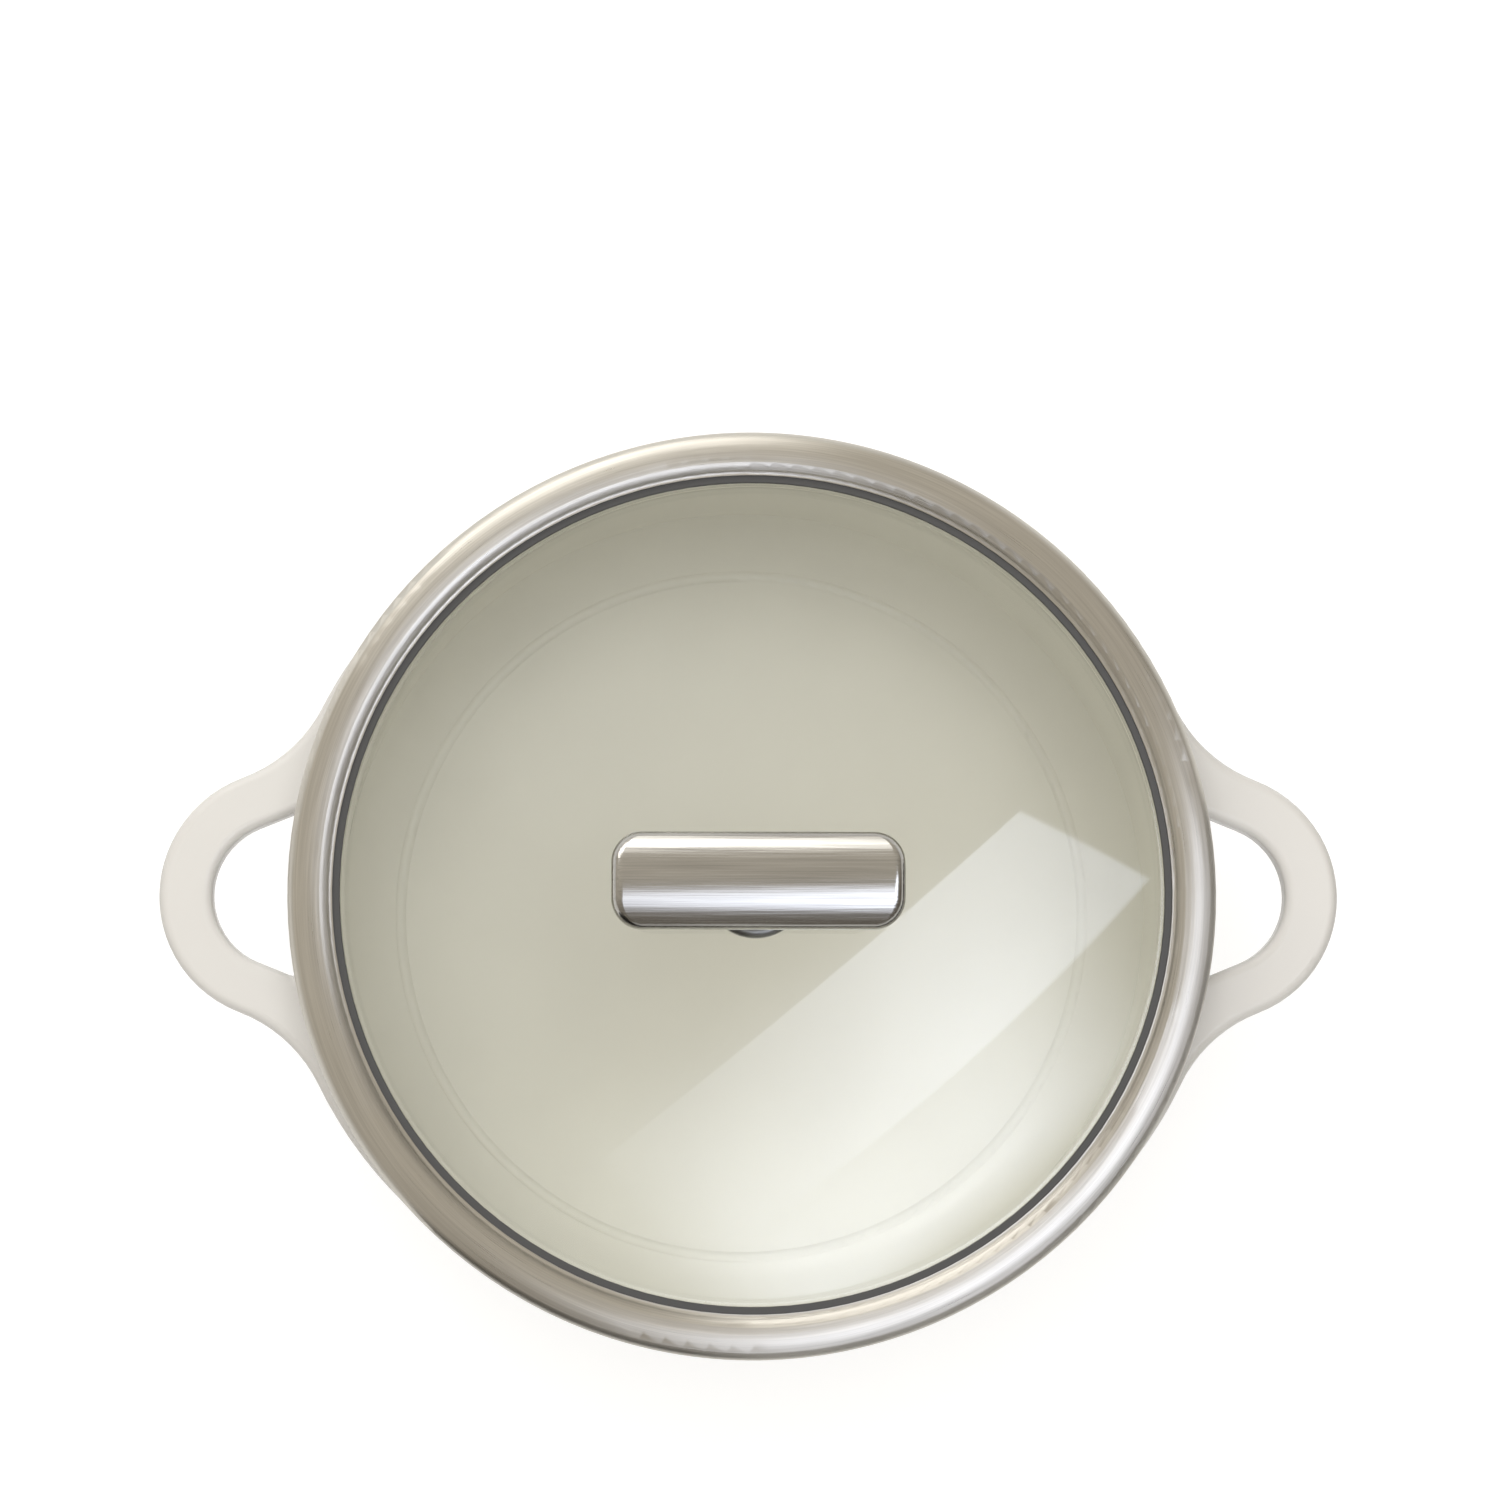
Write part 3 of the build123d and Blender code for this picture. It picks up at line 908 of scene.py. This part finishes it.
class PAN_OT_coat_pot(Operator):
    """Coat the casting white outside and greige inside"""

    bl_idname = "pan.coat_pot"
    bl_label = "Coat the pot"

    def execute(self, context):
        finish_nodes(coat_material(context.scene.pan_finish), "pot_body")
        return {"FINISHED"}


class PAN_OT_turn_base(Operator):
    """Turn the steel plate under the pot"""

    bl_idname = "pan.turn_base"
    bl_label = "Turn the base plate"

    def execute(self, context):
        finish = context.scene.pan_finish
        steel = steel_material(
            "turned_base", finish.plate, finish.plate_roughness, finish, sweep=LONG_LINES
        )
        finish_nodes(steel, "base_plate")
        return {"FINISHED"}


class PAN_OT_brush_rim(Operator):
    """Brush the steel rim of the lid round its ring"""

    bl_idname = "pan.brush_rim"
    bl_label = "Brush the lid rim"

    def execute(self, context):
        finish = context.scene.pan_finish
        steel = steel_material("brushed_rim", finish.rim, finish.rim_roughness, finish)
        finish_nodes(steel, "lid_rim")
        return {"FINISHED"}


class PAN_OT_mould_seals(Operator):
    """Give the seal and the gaskets their dark silicone"""

    bl_idname = "pan.mould_seals"
    bl_label = "Mould the seals"

    def execute(self, context):
        silicone = silicone_material(context.scene.pan_finish)
        finish_nodes(silicone, "rim_seal", "upper_gasket", "lower_gasket")
        return {"FINISHED"}


class PAN_OT_clear_glass(Operator):
    """Turn the domed glass of the lid and make it clear"""

    bl_idname = "pan.clear_glass"
    bl_label = "Clear the lid glass"

    def execute(self, context):
        finish = context.scene.pan_finish
        clear = glass_material(finish)
        finish_nodes(clear, "lid_glass")
        dome = grid_object("domed_glass", glass_surface(finish), looped=True)
        finish_grid(dome, clear)
        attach(dome, "lid")
        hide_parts("lid_glass")
        return {"FINISHED"}


class PAN_OT_brush_handle(Operator):
    """Brush the bar handle along its length and its collar round"""

    bl_idname = "pan.brush_handle"
    bl_label = "Brush the handle"

    def execute(self, context):
        finish = context.scene.pan_finish
        bar = steel_material("brushed_bar", finish.handle, finish.handle_roughness, finish, straight=True)
        finish_nodes(bar, "lid_handle")
        # Collar takes the darkened collar colour: painted shade from under the bar
        collar = steel_material("collar_steel_painted_shade", finish.collar, finish.collar_roughness, finish)
        finish_nodes(collar, "handle_collar")
        return {"FINISHED"}


class PAN_OT_fasten_handle(Operator):
    """Finish the washers and cut the screw's thread and recess"""

    bl_idname = "pan.fasten_handle"
    bl_label = "Fasten the handle"

    def execute(self, context):
        finish = context.scene.pan_finish
        steel = steel_material(
            "plain_fastener", finish.fastener, finish.fastener_roughness, finish, sweep=LONG_LINES
        )
        finish_nodes(steel, "flat_washer", "lock_washer")
        screw = grid_object("threaded_screw", screw_surface(finish), closed_start=True, closed_end=True)
        finish_grid(screw, steel)
        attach(screw, "lid")
        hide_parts("handle_screw")
        return {"FINISHED"}


class PAN_OT_set_studio(Operator):
    """Lay the floor, light it and set the camera over the lid"""

    bl_idname = "pan.set_studio"
    bl_label = "Set the studio"

    def execute(self, context):
        studio = context.scene.pan_studio
        lay_floor(studio)
        stand_flag(studio)
        hang_lamps(studio)
        light_world(studio)
        set_camera(studio)
        context.scene.view_settings.view_transform = "Standard"
        return {"FINISHED"}


class PAN_PT_sidebar(Panel):
    """Lists the pan's pieces and its studio"""

    bl_idname = "PAN_PT_sidebar"
    bl_label = "Pan"
    bl_space_type = "VIEW_3D"
    bl_region_type = "UI"
    bl_category = "Pan"

    def draw(self, context):
        for operator in OPERATORS:
            self.layout.operator(operator.bl_idname)
        for group in (context.scene.pan_finish, context.scene.pan_studio):
            for name in group.__annotations__:
                self.layout.prop(group, name)


OPERATORS = (
    PAN_OT_coat_pot,
    PAN_OT_turn_base,
    PAN_OT_brush_rim,
    PAN_OT_mould_seals,
    PAN_OT_clear_glass,
    PAN_OT_brush_handle,
    PAN_OT_fasten_handle,
    PAN_OT_set_studio,
)
CLASSES = (PanFinish, PanStudio, *OPERATORS, PAN_PT_sidebar)


def register():
    """Register the classes and hang the settings on the scene."""
    for item in CLASSES:
        bpy.utils.register_class(item)
    bpy.types.Scene.pan_finish = PointerProperty(type=PanFinish)
    bpy.types.Scene.pan_studio = PointerProperty(type=PanStudio)


def unregister():
    """Take the settings off the scene and unregister the classes."""
    del bpy.types.Scene.pan_studio
    del bpy.types.Scene.pan_finish
    for item in reversed(CLASSES):
        bpy.utils.unregister_class(item)


def main():
    """Register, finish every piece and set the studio."""
    register()
    bpy.ops.pan.coat_pot()
    bpy.ops.pan.turn_base()
    bpy.ops.pan.brush_rim()
    bpy.ops.pan.mould_seals()
    bpy.ops.pan.clear_glass()
    bpy.ops.pan.brush_handle()
    bpy.ops.pan.fasten_handle()
    bpy.ops.pan.set_studio()


if __name__ == "__main__":
    main()
